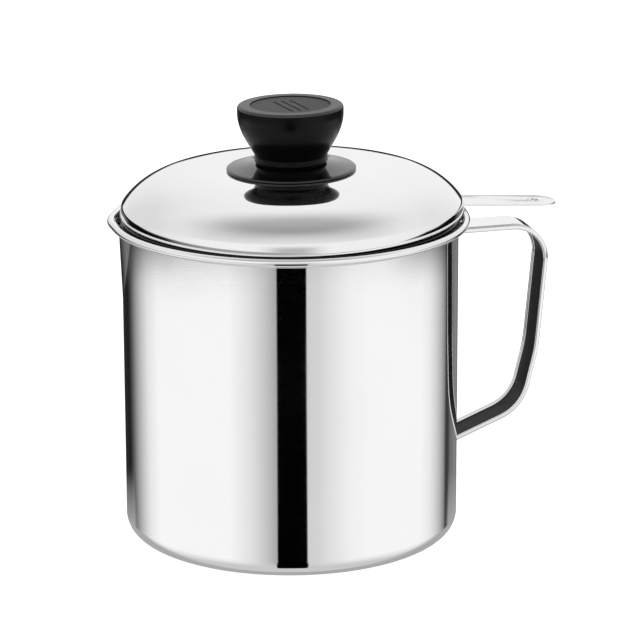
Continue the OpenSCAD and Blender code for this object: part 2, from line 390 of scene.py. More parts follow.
def worn_edges(n):
    """1 on exposed edges, 0 elsewhere."""
    geometry = n.add("ShaderNodeNewGeometry")
    return n.spread(geometry.outputs["Pointiness"], 0.53, 0.62)


def steel(name, tint, roughness, lines=(1.0, 1.0, 60.0), line_depth=0.02, smudge=0.03):
    """Polished or brushed stainless steel. lines says how the fine polishing lines are stretched."""
    made = bpy.data.materials.new(name)
    made.use_nodes = True
    n = Nodes(made.node_tree)
    at = n.add("ShaderNodeTexCoord").outputs["Object"]
    fine = n.noise(n.stretched(at, lines), 90.0, 6.0, 0.65)
    cloud = n.noise(at, 26.0, 5.0, 0.6)
    speck = n.noise(at, 900.0, 2.0, 0.5)
    edge = worn_edges(n)
    shader = n.add("ShaderNodeBsdfPrincipled")
    shader.inputs["Metallic"].default_value = 1.0
    colour = n.blend(n.spread(cloud, 0.3, 0.7), tint, [c * 0.975 for c in tint])
    colour = n.blend(n.spread(fine, 0.62, 0.8, 0.0, 0.35), colour, [c * 0.93 for c in tint])
    n.join(colour, shader.inputs["Base Color"])
    rough = n.math("ADD", n.spread(fine, 0.35, 0.75, -smudge / 2, smudge / 2),
                   n.spread(cloud, 0.35, 0.7, roughness, roughness + smudge))
    rough = n.math("ADD", rough, n.spread(speck, 0.66, 0.8, 0.0, 0.05))
    rough = n.math("ADD", rough, n.math("MULTIPLY", edge, 0.05), clamp=True)
    n.join(rough, shader.inputs["Roughness"])
    bump = n.add("ShaderNodeBump")
    bump.inputs["Strength"].default_value = line_depth
    bump.inputs["Distance"].default_value = 0.00005
    n.join(fine, bump.inputs["Height"])
    n.join(bump.outputs[0], shader.inputs["Normal"])
    n.join(shader.outputs[0], n.add("ShaderNodeOutputMaterial").inputs[0])
    return made


def plastic(name, colour, roughness, grain=0.04, gloss=0.5):
    """Moulded thermoset plastic with a fine grain, faint flow marks and rubbed edges."""
    made = bpy.data.materials.new(name)
    made.use_nodes = True
    n = Nodes(made.node_tree)
    at = n.add("ShaderNodeTexCoord").outputs["Object"]
    grainy = n.noise(at, 2600.0, 3.0, 0.6)
    cloud = n.noise(at, 60.0, 4.0, 0.55)
    flow = n.noise(n.stretched(at, (1.0, 1.0, 14.0)), 40.0, 3.0, 0.5)
    edge = worn_edges(n)
    shader = n.add("ShaderNodeBsdfPrincipled")
    shader.inputs["Specular IOR Level"].default_value = gloss
    shade = n.blend(n.spread(cloud, 0.35, 0.7), colour, [c * 1.25 for c in colour])
    shade = n.blend(n.math("MULTIPLY", edge, 0.3), shade, [min(1.0, c * 2.2 + 0.01) for c in colour])
    n.join(shade, shader.inputs["Base Color"])
    rough = n.math("ADD", n.spread(cloud, 0.3, 0.7, roughness * 0.9, roughness * 1.1),
                   n.spread(flow, 0.4, 0.7, -0.02, 0.03))
    n.join(n.math("ADD", rough, n.math("MULTIPLY", edge, -0.08), clamp=True),
           shader.inputs["Roughness"])
    bump = n.add("ShaderNodeBump")
    bump.inputs["Strength"].default_value = grain
    bump.inputs["Distance"].default_value = 0.0001
    n.join(grainy, bump.inputs["Height"])
    n.join(bump.outputs[0], shader.inputs["Normal"])
    n.join(shader.outputs[0], n.add("ShaderNodeOutputMaterial").inputs[0])
    return made


def brass(name):
    """Turned brass with fine tool marks."""
    return steel(name, (0.80, 0.62, 0.32), 0.22, (1.0, 1.0, 40.0), 0.15, 0.08)


can_steel = steel("polished_can_steel", (0.93, 0.93, 0.94), 0.035)
lid_steel = steel("polished_lid_steel", (0.93, 0.93, 0.94), 0.03, (1.0, 1.0, 30.0))
handle_steel = steel("polished_strap_steel", (0.92, 0.92, 0.92), 0.05, (1.0, 40.0, 1.0))
strainer_steel = steel("strainer_sheet_steel", (0.72, 0.72, 0.73), 0.24, (1.0, 1.0, 60.0), 0.05)
can_inside = steel("satin_can_inside", (0.72, 0.72, 0.73), 0.28, (1.0, 1.0, 60.0), 0.06)
# Satin finish for the lid's inside, with a darker tint that paints shade in the gap under the lid.
lid_inside = steel("satin_lid_inside_painted_shade", (0.60, 0.60, 0.61), 0.30, (1.0, 1.0, 60.0), 0.06)
# Near-black steel, painted shade: it darkens the gap between the lid, the strainer's hem and the can's
# bead, where only shadow falls.
gap_shade_steel = steel("painted_gap_shade_steel", (0.03, 0.03, 0.03), 0.30, (1.0, 1.0, 60.0), 0.05)
strip_steel = steel("satin_strip_steel", (0.93, 0.93, 0.93), 0.24, (1.0, 60.0, 1.0), 0.06, 0.03)
wire_steel = steel("woven_wire_steel", (0.78, 0.78, 0.79), 0.25, (4.0, 4.0, 4.0), 0.05, 0.05)
screw_steel = steel("plated_screw_steel", (0.62, 0.62, 0.60), 0.30, (6.0, 6.0, 6.0), 0.2, 0.08)
guard_plastic = plastic("gloss_guard_plastic", (0.002, 0.002, 0.002), 0.06, 0.01, 0.6)
grip_plastic = plastic("satin_grip_plastic", (0.0015, 0.0015, 0.0015), 0.24, 0.04, 0.14)
# Lighter copy of the grip's black plastic: painted highlight for the rim's up-facing faces.
lit_rim_plastic = plastic("grip_rim_painted_highlight_plastic", (0.045, 0.045, 0.045), 0.34, 0.05, 0.2)
cap_plastic = plastic("satin_cap_plastic", (0.085, 0.085, 0.085), 0.50, 0.06, 0.04)
# Near-black plastic laid in the steel strap's channel: painted shade for the dark channel.
strap_channel_shade = plastic("painted_shade_strap_channel", (0.008, 0.008, 0.008), 0.42, 0.06, 0.1)
insert_brass = brass("turned_brass")


def dress(obj, material, slot, body, *nodes):
    """Gives a piece its material and body, and says which nodes it stands for. The slot is not used."""
    obj.data.materials.clear()
    obj.data.materials.append(material)
    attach(obj, body)
    if nodes:
        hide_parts(*nodes)
    return obj


def finished(obj, material, wanted):
    """Gives a piece one more finish, on the faces whose middle (in mm) and normal are wanted."""
    obj.data.materials.append(material)
    for face in obj.data.polygons:
        if wanted(face.center / MM, face.normal):
            face.material_index = len(obj.data.materials) - 1


def outward(at, normal):
    """How far a face looks away from the upright axis: 1 straight out, -1 straight in."""
    return (normal.x * at.x + normal.y * at.y) / max(math.hypot(at.x, at.y), 0.001)


def from_axis(at):
    """Distance from the upright axis."""
    return math.hypot(at.x, at.y)


# ---- Can -----------------------------------------------------------------------------------------

def lip_radius(angle, z, plain):
    """Outer radius of the wall at an angle from the lip's ridge and a height, plain without a lip."""
    z = max(z, lip_foot_z + 1e-6)
    a = abs(angle)
    ridge_top = can_r + lip_ridge
    if z <= flare_z0:
        up = (z - lip_foot_z) / (flare_z0 - lip_foot_z)
        ridge = can_r + lip_ridge * up
        side, side_r = lip_spread * math.sqrt(up), can_r
    else:
        up = min(1.0, (z - flare_z0) / (bead_z - flare_z0))
        bow = up * up * (3 - 2 * up)
        ridge = ridge_top + (lip_tip - ridge_top) * bow
        side = lip_spread + (math.degrees(math.acos((can_r + mouth_flare) / lip_tip)) - lip_spread) * up
        side_r = can_r + mouth_flare * min(1.0, (z - flare_z0) / (flare_z1 - flare_z0))
    if a >= side:
        return plain
    s, c = math.sin(math.radians(side)) * side_r, math.cos(math.radians(side)) * side_r
    t = math.radians(a)
    return ridge * s / (s * math.cos(t) + (ridge - c) * math.sin(t))


def wall_column(angle):
    """Outer wall points at an angle from the lip's ridge, from the corner up to the bead."""
    a = abs(angle)
    crease = flare_z0
    if a < lip_spread:
        crease = lip_foot_z + (flare_z0 - lip_foot_z) * (a / lip_spread) ** 2
    rise = [base_corner, base_corner + 0.3, 12, 20, 30, 40, 50, 60, 70, 78, 84]
    low = crease - 0.15
    between = list(np.linspace(84.5, low, 7)) if low > 85 else [low] * 7
    above = list(np.linspace(crease, flare_z0, 14)) + list(np.linspace(flare_z0, bead_z, 13)[1:])
    column = []
    for z in rise + between + above:
        flare = min(1.0, max(0.0, (z - flare_z0) / (flare_z1 - flare_z0)))
        plain = can_r + mouth_flare * flare
        r = lip_radius(angle, z, plain) if z > crease and a < lip_spread + 2 else plain
        column.append((r, z))
    return column


def can_body(steps=360):
    """The drawn shell: floor, corner, wall with the folded lip, and the inside parallel to it."""
    rows = []
    for i in range(steps):
        angle = (i * 360 / steps + 180) % 360 - 180
        wall = wall_column(angle)
        corner = arc(can_r - base_corner, base_corner, base_corner, -90, 0, 16)
        outer = [(0.0, 0.0), (10, 0.0), (25, 0.0), (40, 0.0), (can_r - base_corner - 0.4, 0.0)]
        outer += corner[:-1] + wall
        inner = [(r - sheet, z) for r, z in wall[::-1]]
        inner_r = base_corner - sheet
        inner += arc(can_in - inner_r, sheet + inner_r, inner_r, 0, -90, 16)[1:]
        inner += [(40, sheet), (25, sheet), (10, sheet), (0.0, sheet)]
        t = math.radians(lip_angle + angle)
        rows.append([(r * math.cos(t), r * math.sin(t), z) for r, z in outer + inner])
    mesh = cleaned(grid_mesh("can_body", rows, around=True, across=True))
    mark_lip_creases(mesh)
    return new_object("can_body", mesh)


def mark_lip_creases(mesh):
    """Keeps the lip's ridge and its two fold lines crisp."""
    sharp = mesh.attributes.get("sharp_edge") or mesh.attributes.new("sharp_edge", "BOOLEAN", "EDGE")
    points = np.array([v.co for v in mesh.vertices]) / MM
    angle = (np.degrees(np.arctan2(points[:, 1], points[:, 0])) - lip_angle + 180) % 360 - 180
    height = points[:, 2]
    radius = np.hypot(points[:, 0], points[:, 1])
    up = np.clip((height - lip_foot_z) / (flare_z0 - lip_foot_z), 0, 1)
    on_fold = (np.abs(height - (lip_foot_z + (flare_z0 - lip_foot_z)
                                * (angle / lip_spread) ** 2)) < 0.02) & (np.abs(angle) < lip_spread)
    on_ridge = (np.abs(angle) < 0.02) & (height > lip_foot_z - 0.1) & (up > 0)
    outside = radius > can_r - 0.1
    marks = np.zeros(len(mesh.edges), bool)
    sharp.data.foreach_get("value", marks)
    for i, e in enumerate(mesh.edges):
        a, b = e.vertices
        if outside[a] and outside[b] and (on_fold[a] and on_fold[b] or on_ridge[a] and on_ridge[b]):
            marks[i] = True
    sharp.data.foreach_set("value", marks)


def mouth_path():
    """The rim's line as (x, y, normal angle): round the can, along the lip and round its tip."""
    spots = []
    for a in np.linspace(lip_half, 360 - lip_half, 301):
        spots.append((bead_c * math.cos(math.radians(a)), bead_c * math.sin(math.radians(a)), a))
    side = 360 - lip_half
    first = np.array([math.cos(math.radians(side)), math.sin(math.radians(side))])
    centre = np.array([lip_c, 0.0])
    run = centre + first * lip_nose - first * bead_c
    for s in np.linspace(0, 1, 14)[1:-1]:
        p = first * bead_c + run * s
        spots.append((p[0], p[1], side))
    for a in np.linspace(-lip_half, lip_half, 21):
        p = centre + lip_nose * np.array([math.cos(math.radians(a)), math.sin(math.radians(a))])
        spots.append((p[0], p[1], a))
    last = np.array([math.cos(math.radians(lip_half)), math.sin(math.radians(lip_half))])
    run = last * bead_c - (centre + last * lip_nose)
    for s in np.linspace(0, 1, 14)[1:-1]:
        p = centre + last * lip_nose + run * s
        spots.append((p[0], p[1], lip_half))
    return spots


def rim_curl():
    """The sheet's edge rolled outward and down into a bead round the mouth."""
    section = sheet_section(arc(0, 0, curl_r, 180, -110, 40), -sheet / 2, sheet / 2)
    turn = math.radians(lip_angle)
    rows = []
    for x, y, normal in mouth_path():
        c, s = math.cos(math.radians(normal)), math.sin(math.radians(normal))
        ring = []
        for u, z in section:
            px, py = x + u * c, y + u * s
            ring.append((px * math.cos(turn) - py * math.sin(turn),
                         px * math.sin(turn) + py * math.cos(turn), bead_z + z))
        rows.append(ring)
    return new_object("rim_curl", cleaned(grid_mesh("rim_curl", rows, around=True, across=True)))


def in_can(at, normal):
    """The can's inner wall and floor."""
    return from_axis(at) < can_in + 1 and (outward(at, normal) < 0 or normal.z > 0.5)


def in_mouth(at, normal):
    """The upright inner wall just under the bead."""
    return outward(at, normal) < -0.93 and at.z > flare_z0


can = joined("can_polished", [can_body(), rim_curl()])
dress(can, can_steel, "can_steel", "can", "can_shell")
finished(can, can_inside, in_can)
# Painted shade: the upright inner wall under the bead is near black, as the shadow in the gap.
finished(can, gap_shade_steel, in_mouth)


# ---- Strap handle --------------------------------------------------------------------------------

def strap_section():
    """Closed outline of the strap across its width: (place across, depth below the outer face)."""
    edge, corner, lip = strap_w / 2, 1.4, strap_sheet / 2
    inner = edge - strap_sheet
    half = [(0.0, 0.0), (edge - corner - 0.3, 0.0)]
    half += arc(edge - corner, -corner, corner, 90, 0, 14)
    half += arc(edge - lip, -(strap_lip - lip), lip, 0, -180, 8)
    half += arc(inner - 0.5, -strap_sheet - 0.5, 0.5, 0, 90, 5)
    half += [(inner - 0.8, -strap_sheet), (0.0, -strap_sheet)]
    other = [(-u, d) for u, d in half[::-1]]
    return half + other[1:-1]


def strap():
    """The strap with its turned-in edges, swept along its path and ending on the can's wall."""
    bends = rounded(strap_start, strap_bend, strap_waist, bend_round, 40)
    bends += rounded(strap_bend, strap_waist, strap_heel, waist_round, 16)
    bends += rounded(strap_waist, strap_heel, strap_end, heel_round, 30)
    path = supported([strap_start] + bends + [strap_end], apart=4.0)
    p = np.array(path)
    section = strap_section()
    offsets = {}
    rows = []
    weld_r = can_r - 0.2
    for i in range(len(p)):
        ring = []
        for across, depth in section:
            if depth not in offsets:
                offsets[depth] = beside(path, depth)
            x, z = offsets[depth][i]
            if i in (0, len(p) - 1):
                other = offsets[depth][1 if i == 0 else -2]
                along = np.array([x, z]) - other
                wall = math.sqrt(weld_r ** 2 - across ** 2)
                x, z = other + along * (wall - other[0]) / along[0]
            ring.append((x, across, z))
        rows.append(ring)
    count = len(section)
    mesh = capped(grid_mesh("strap", rows, across=True), (0, count * (len(p) - 1)), count)
    return new_object("strap", cleaned(mesh))


def foot(z0, z1):
    """A welded foot of the strap: a plate bent to the wall, with rounded corners."""
    spots = []
    half = strap_w / 2
    corner = 1.6
    outline = arc(half - corner, z0 + corner, corner, -90, 0, 6)
    outline += arc(half - corner, z1 - corner, corner, 0, 90, 6)
    outline += arc(-half + corner, z1 - corner, corner, 90, 180, 6)
    outline += arc(-half + corner, z0 + corner, corner, 180, 270, 6)
    middle = np.array([0, (z0 + z1) / 2])
    shrink = [(1.0, 0.0), (1.0, 0.6), (0.985, 0.85), (0.95, 1.0), (0.6, 1.0), (0.3, 1.0), (0.0, 1.0)]
    for share, out in shrink:
        r = can_r - 0.1 + (foot_t + 0.1) * out
        ring = []
        for y, z in outline:
            y, z = middle + (np.array([y, z]) - middle) * share
            ring.append((math.sqrt(r * r - y * y), y, z))
        spots.append(ring)
    back = [[(math.sqrt((can_r - 0.1) ** 2 - (y * s) ** 2), y * s, middle[1] + (z - middle[1]) * s)
             for y, z in outline] for s in (0.0, 0.5)]
    return new_object("foot", cleaned(grid_mesh("foot", back + spots, across=True)))


def in_channel(at, normal):
    """The floor of the strap's channel, which faces the fingers."""
    faces_grip = normal.x * (grip_gap[0] - at.x) + normal.z * (grip_gap[1] - at.z) > 0
    between_edges = abs(normal.y) < 0.5 and abs(at.y) < strap_w / 2 - 0.9
    return faces_grip and between_edges and at.x > can_r + foot_t + 0.2


upper_foot = foot(strap_start[1] - foot_h, strap_start[1] - 0.3)
lower_foot = foot(strap_end[1] - foot_h + 2, strap_end[1] + 2)
handle = joined("strap_handle_polished", [strap(), upper_foot, lower_foot])
dress(handle, handle_steel, "handle_steel", "can", "strap_handle")
# Painted shade: the channel's floor, facing the fingers, gets the near-black material.
finished(handle, strap_channel_shade, in_channel)


# ---- Strainer ------------------------------------------------------------------------------------

def strainer_rim():
    """The rolled sheet ring that hangs in the mouth on its flange."""
    skin = sheet / 2
    mid_r, mid_z = cup_r - skin, seat_top - skin
    path = [(mid_r, cup_low)] + arc(mid_r + 0.8, mid_z - 0.8, 0.8, 180, 90, 10)
    outer = hem_r - skin - hem_in
    path += arc(outer - 0.6, mid_z - 0.6, 0.6, 90, 0, 10) + [(outer, bead_z - 0.6)]
    return revolved("strainer_rim_polished", sheet_section(path, -skin, skin))


rim = strainer_rim()
dress(rim, strainer_steel, "strainer_steel", "strainer", "strainer_rim")
# Painted shade: the hem's outer edge is near black, as the shadow in the gap under the lid.
finished(rim, gap_shade_steel, lambda at, normal: from_axis(at) > hem_r - 1.6)


def wire(line, thick):
    """Rows of a thin square-cornered tube along a line of points."""
    p = np.array(line)
    d = np.gradient(p, axis=0)
    d /= np.linalg.norm(d, axis=1)[:, None]
    side = np.cross(d, [0.0, 0.0, 1.0])
    side /= np.linalg.norm(side, axis=1)[:, None]
    up = np.cross(side, d)
    return np.stack([p + side * thick, p + up * thick, p - side * thick, p - up * thick], 1)


def woven_bowl(pitch=1.5, thick=0.2, weave=0.17, per_cross=2):
    """The dished mesh as woven wires: two crossing sets that pass over and under each other."""
    centre_z = cup_low - mesh_depth + bowl_r
    reach = sieve_r + 0.2
    half = int(reach / pitch)
    points, faces = [], []
    for kind in (0, 1):
        for i in range(-half, half + 1):
            u = i * pitch
            run = math.sqrt(max(0.0, reach ** 2 - u ** 2))
            if run < 2:
                continue
            steps = int(run / pitch * per_cross)
            v = np.arange(-steps, steps + 1) * pitch / per_cross
            wave = weave * np.cos(math.pi * (v / pitch + i + kind))
            r2 = u * u + v * v
            z = centre_z - np.sqrt(bowl_r ** 2 + 0.5 * bowl_r - r2) + wave
            line = np.stack([np.full_like(v, u), v, z] if kind else [v, np.full_like(v, u), z], -1)
            tube = wire(line, thick)
            n = len(points)
            count = len(tube)
            points += (tube.reshape(-1, 3) * MM).tolist()
            for k in range(count - 1):
                a = n + 4 * k
                faces += [(a + j, a + (j + 1) % 4, a + 4 + (j + 1) % 4, a + 4 + j) for j in range(4)]
            faces += [(n + 3, n + 2, n + 1, n), tuple(n + 4 * (count - 1) + j for j in range(4))]
    mesh = bpy.data.meshes.new("woven_bowl")
    mesh.from_pydata(points, [], faces)
    return new_object("woven_bowl", cleaned(mesh, 1e-9))


selvage = revolved("selvage", sheet_section([(sieve_r + 0.25, cup_low - 0.2),
                                             (sieve_r + 0.25, sieve_top - 0.1)], -0.15, 0.15), 128)
mesh_dish = joined("woven_mesh", [woven_bowl(), selvage])
dress(mesh_dish, wire_steel, "mesh_steel", "strainer", "strainer_mesh")

ring_path = [(sieve_r - 0.3, cup_low + 0.5), (sieve_r - 0.3, sieve_top)]
clamp_ring = revolved("mesh_ring_polished", sheet_section(ring_path, -0.28, 0.28))
dress(clamp_ring, strainer_steel, "strainer_steel", "strainer", "mesh_ring")


def strainer_strip():
    """The flat handle: a strip bent over the rim, with a pressed groove and a hanging hole."""
    droop = math.tan(math.radians(tab_droop))
    tip_z = seat_top + tab_rise - (tab_reach - tab_peak) * droop
    side = [(tab_in, seat_top)]
    side += rounded((tab_in, seat_top), (tab_flat, seat_top), (tab_peak, seat_top + tab_rise), 8, 10)
    side += rounded((tab_flat, seat_top), (tab_peak, seat_top + tab_rise), (tab_reach, tip_z), 8, 10)
    side += [(tab_reach, tip_z)]
    top = [tuple(q) for q in beside(side, tab_t)]
    half = tab_w / 2
    plate = prism("strip", side + top[::-1], -half - 2, half + 2, "y")
    ends = arc(tab_reach - half, 0, half, -90, 90, 40)
    outline = [(tab_in, -half)] + ends + [(tab_in, half)]
    combined(plate, prism("outline", outline, seat_top - 6, seat_top + 6), "INTERSECT")
    hole = prism("hole", arc(hang_x, 0, hang_d / 2, 0, 360 * 47 / 48, 47), seat_top - 8, seat_top + 8)
    combined(plate, hole, "DIFFERENCE")
    face_z = seat_top + tab_rise + tab_t - (groove_x - tab_peak) * droop
    end_z = seat_top + tab_rise + tab_t - (hang_x - tab_peak) * droop
    wedge = [(groove_x, 0, face_z + 0.02), (hang_x, groove_half, end_z + 0.02),
             (hang_x, -groove_half, end_z + 0.02), (hang_x, 0, end_z - groove_deep)]
    mesh = bpy.data.meshes.new("groove")
    mesh.from_pydata([tuple(c * MM for c in q) for q in wedge], [],
                     [(0, 1, 2), (0, 3, 1), (0, 2, 3), (1, 3, 2)])
    combined(plate, new_object("groove", cleaned(mesh)), "DIFFERENCE")
    return softened(plate, 0.18, 2, 40)


strip = strainer_strip()
strip.name = "strainer_handle_satin"
dress(strip, strip_steel, "strip_steel", "strainer", "strainer_handle")


# ---- Lid -----------------------------------------------------------------------------------------

def moved(point, distance, angle):
    """A point moved outward from a centre, at an angle from the upright."""
    t = math.radians(angle)
    return (point[0] + distance * math.sin(t), point[1] + distance * math.cos(t))


def lid_outline():
    """Outer line of the lid: a flat middle, crown, shoulder, bend and bowed wall."""
    flat_r = lid_r - wall_bow
    for radius, inner, angle in ((wall_bow, bend_r, bend_a), (bend_r, shoulder_r, shoulder_a),
                                 (shoulder_r, crown_r, crown_a)):
        flat_r += (radius - inner) * math.sin(math.radians(angle))
    crown_c = (flat_r, lid_top - crown_r)
    shoulder_c = moved(crown_c, crown_r - shoulder_r, crown_a)
    bend_c = moved(shoulder_c, shoulder_r - bend_r, shoulder_a)
    bow_c = moved(bend_c, bend_r - wall_bow, bend_a)
    line = [(2.2, lid_top)]
    line += arc(*crown_c, crown_r, 90, 90 - crown_a, 24)
    line += arc(*shoulder_c, shoulder_r, 90 - crown_a, 90 - shoulder_a, 40)[1:]
    line += arc(*bend_c, bend_r, 90 - shoulder_a, 90 - bend_a, 12)[1:]
    return line + arc(*bow_c, wall_bow, 90 - bend_a, wall_lean, 10)[1:]


def lid_section():
    """Closed outline of the lid's sheet, whose lower edge is rolled outward."""
    outer = [tuple(q) for q in supported(lid_outline())]
    inner = [tuple(q) for q in beside(outer, -lid_sheet)]
    lean, turn = math.radians(wall_lean), math.radians(60)
    hollow_x = outer[-1][0] + roll_gap * math.cos(lean)
    hollow_z = outer[-1][1] + roll_gap * math.sin(lean)
    hollow = arc(hollow_x, hollow_z, roll_gap, 180 + wall_lean, 240, 8)
    roll_x = hollow[-1][0] - roll_r * math.cos(turn)
    roll_z = hollow[-1][1] - roll_r * math.sin(turn)
    roll = arc(roll_x, roll_z, roll_r, 60, -90, 18)
    return outer + hollow[1:] + roll[1:] + [(lid_r - lid_sheet, roll[-1][1])] + inner[::-1]


def seated(obj):
    """Lowers the skirt into the mouth on the side toward the camera, as the lid lies in the photo."""
    facing = math.radians(CAMERA_AZIMUTH - 90 + drop_aside)
    for vertex in obj.data.vertices:
        x, y, z = vertex.co / MM
        side = max(0.0, math.cos(math.atan2(y, x) - facing))
        low = min(1.0, max(0.0, (drop_from - z) / (drop_from - drop_to)))
        vertex.co.z -= drop * side ** 2 * low * low * (3 - 2 * low) * MM
    return obj


def in_lid(at, normal):
    """The lid's inner wall and underside."""
    return outward(at, normal) < -0.02 or normal.z < -0.5 and at.z > 100


lid = seated(revolved("lid_polished", lid_section(), 360))
dress(lean_with_lid(lid), lid_steel, "lid_steel", "lid", "lid_shell")
# Painted shade: the lid's inner wall and underside get the darker satin steel.
finished(lid, lid_inside, in_lid)


# ---- Knob ----------------------------------------------------------------------------------------

def guard():
    """The glossy disc that guards the fingers."""
    line = [(spigot_r + 0.05, lid_top), (guard_r - 0.6, lid_top)]
    line += arc(guard_r - 0.45, lid_top + 0.5, 0.45, -60, 70, 12)
    line += cubic((guard_r - 1.4, lid_top + 1.1), (guard_r - 5, lid_top + 1.5),
                  (neck_r + 3, guard_top - 0.6), (neck_r, guard_top), 24)
    line += [(spigot_r + 0.05, guard_top)]
    return revolved("knob_guard_gloss", supported(line, closed=True), 192)


def grip():
    """The moulded grip: neck, collar and a bowl that widens to a flat rim."""
    line = [(insert_r, lid_top), (spigot_r, lid_top), (spigot_r, guard_top), (neck_r, guard_top)]
    line += [(neck_r + 0.1, guard_top + 0.25), (collar_r - 0.35, collar_z - 0.05)]
    line += arc(collar_r - 0.3, collar_z + 0.3, 0.3, -60, 0, 5)
    line += arc(collar_r - 0.35, collar_z + 1.85, 0.35, 0, 70, 6)
    line += cubic((collar_r - 0.2, collar_z + 2.3), (collar_r + 1.2, collar_z + 5.2),
                  (grip_r - 0.1, grip_top - 9.5), (grip_r, grip_top - 3), 30)
    line += arc(grip_r - 1.2, grip_top - 1.2, 1.2, 0, 90, 10)
    line += arc(cap_r + 0.2, grip_top - 0.2, 0.2, 90, 180, 6)
    line += [(cap_r, grip_top - cap_t - cap_sink), (insert_r, grip_top - cap_t - cap_sink)]
    return revolved("knob_grip_satin", supported(line, closed=True), 192)


def cap():
    """The inlaid disc with three parallel grooves."""
    top = grip_top - cap_sink
    line = [(0.0, top - cap_t), (cap_r - 0.05, top - cap_t)]
    line += arc(cap_r - 0.25, top - 0.2, 0.2, 0, 90, 6) + [(0.0, top)]
    disc = revolved("knob_cap_satin", supported(line, closed=True), 128)
    turn = math.radians(mark_turn)
    for i in (-1, 0, 1):
        outline = []
        for x, y in arc(mark_near, 0, mark_half, -90, 90, 6) + arc(-mark_far, 0, mark_half, 90, 270, 6):
            y += i * mark_pitch
            outline.append((x * math.cos(turn) - y * math.sin(turn),
                            x * math.sin(turn) + y * math.cos(turn)))
        combined(disc, prism("groove", outline, top - mark_depth, top + 1), "DIFFERENCE")
    disc.data.shade_smooth()
    disc.data.set_sharp_from_angle(angle=math.radians(FLAT))
    return disc


dress(lean_with_lid(guard()), guard_plastic, "guard_plastic", "lid", "knob_guard")
knob = grip()
dress(lean_with_lid(knob), grip_plastic, "grip_plastic", "lid", "knob_grip")
# Painted highlight: the up-facing faces of the grip's rim get the lighter copy of the black plastic.
finished(knob, lit_rim_plastic, lambda at, normal: at.z > grip_top - 2.5 and normal.z > 0.3)
dress(lean_with_lid(cap()), cap_plastic, "cap_plastic", "lid", "knob_cap")

for node, material, slot in (("knob_insert", insert_brass, "insert_brass"),
                             ("lid_screw", screw_steel, "screw_steel"),
                             ("screw_washer", screw_steel, "screw_steel")):
    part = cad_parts[node]
    part.data.materials.clear()
    part.data.materials.append(material)


# ---- Studio --------------------------------------------------------------------------------------

def grey(level):
    """A screen grey, from 0 to 255, as light off a mirror of steel."""
    return min(1.0, (level / 255) ** 2.2 / 0.92)


def even_grey(level):
    """One screen grey as a colour."""
    return (grey(level),) * 3


def around_ramp(n, place, stops):
    """Screen greys by direction round the object: (degrees right of the camera, level)."""
    return n.ramp(place, [((a + 180) / 360, grey(v)) for a, v in stops])


def directions(n):
    """The direction looked at, with -Y toward the camera: its x and y, azimuth and elevation."""
    turn = n.add("ShaderNodeVectorRotate", rotation_type="Z_AXIS")
    n.join(n.add("ShaderNodeTexCoord").outputs["Generated"], turn.inputs["Vector"])
    turn.inputs["Angle"].default_value = math.radians(-CAMERA_AZIMUTH)
    axes = n.add("ShaderNodeSeparateXYZ")
    n.join(turn.outputs[0], axes.inputs[0])
    x, y, z = axes.outputs
    toward = n.math("MULTIPLY", y, -1.0)
    azimuth = n.math("MULTIPLY", n.math("ARCTAN2", x, toward), 180 / math.pi)
    elevation = n.math("MULTIPLY", n.math("ARCSINE", z), 180 / math.pi)
    return x, y, azimuth, elevation


def dark_strip(n, off_middle, elevation):
    """1 in the upright black strip in front, which widens toward its foot."""
    half_width = n.spread(elevation, -17, -57, 10.0, 13.8)
    inside = n.spread(n.math("SUBTRACT", off_middle, half_width), 0.3, -0.3)
    under_top = n.spread(elevation, -12.0, -14.0)
    over_foot = n.spread(elevation, -58, -56)
    return n.math("MULTIPLY", n.math("MULTIPLY", inside, under_top), over_foot)


def upper_walls(n, x, y, place, off_middle, elevation):
    """Pale walls, shaded in front and at the sides, under a soft oval of grey ceiling."""
    walls = around_ramp(n, place, [
        (-180, 240), (-162, 230), (-142, 218), (-112, 218), (-88, 230), (-60, 238), (60, 238),
        (92, 234), (108, 226), (126, 225), (146, 232), (160, 238), (180, 240)])
    walls = n.blend(n.spread(elevation, 58, 30), even_grey(238), walls)
    in_front = n.spread(off_middle, 26, 4, smooth=True)
    walls = n.blend(n.math("MULTIPLY", in_front, n.spread(elevation, 34, 0)), walls, even_grey(180))
    ceiling = n.grey_colour(n.spread(y, -0.4, 0.4, grey(150), grey(184)))
    across = n.math("POWER", n.math("DIVIDE", x, 1.35), 2.0)
    along = n.math("POWER", n.math("ADD", y, 0.08), 2.0)
    from_top = n.math("POWER", n.math("ADD", across, along), 0.5)
    return n.blend(n.spread(from_top, 0.70, 0.21, smooth=True), walls, ceiling)


def horizon_band(n, place, azimuth, elevation, above):
    """The dim band at the horizon, higher toward the back, with the walls above it."""
    band = around_ramp(n, place, [
        (-180, 30), (-140, 25), (-118, 15), (-104, 15), (-92, 40), (-78, 120), (-55, 150),
        (-10, 150), (15, 170), (40, 200), (65, 205), (82, 130), (95, 30), (104, 15), (118, 15),
        (140, 25), (180, 30)])
    aside = n.math("ABSOLUTE", azimuth)
    height = n.math("SUBTRACT", elevation, n.spread(aside, 112, 168, -10.0, -3.0))
    top = n.math("ADD", n.spread(azimuth, -20, 30, 2.5, -3.0), n.spread(azimuth, 70, 100, 0.0, 5.5))
    over = n.spread(n.math("SUBTRACT", height, top), 0.0, 3.0, smooth=True)
    behind = n.math("MULTIPLY", n.spread(aside, 138, 150), n.spread(height, -2.0, -4.0))
    return n.blend(behind, n.blend(over, band, above), even_grey(112))


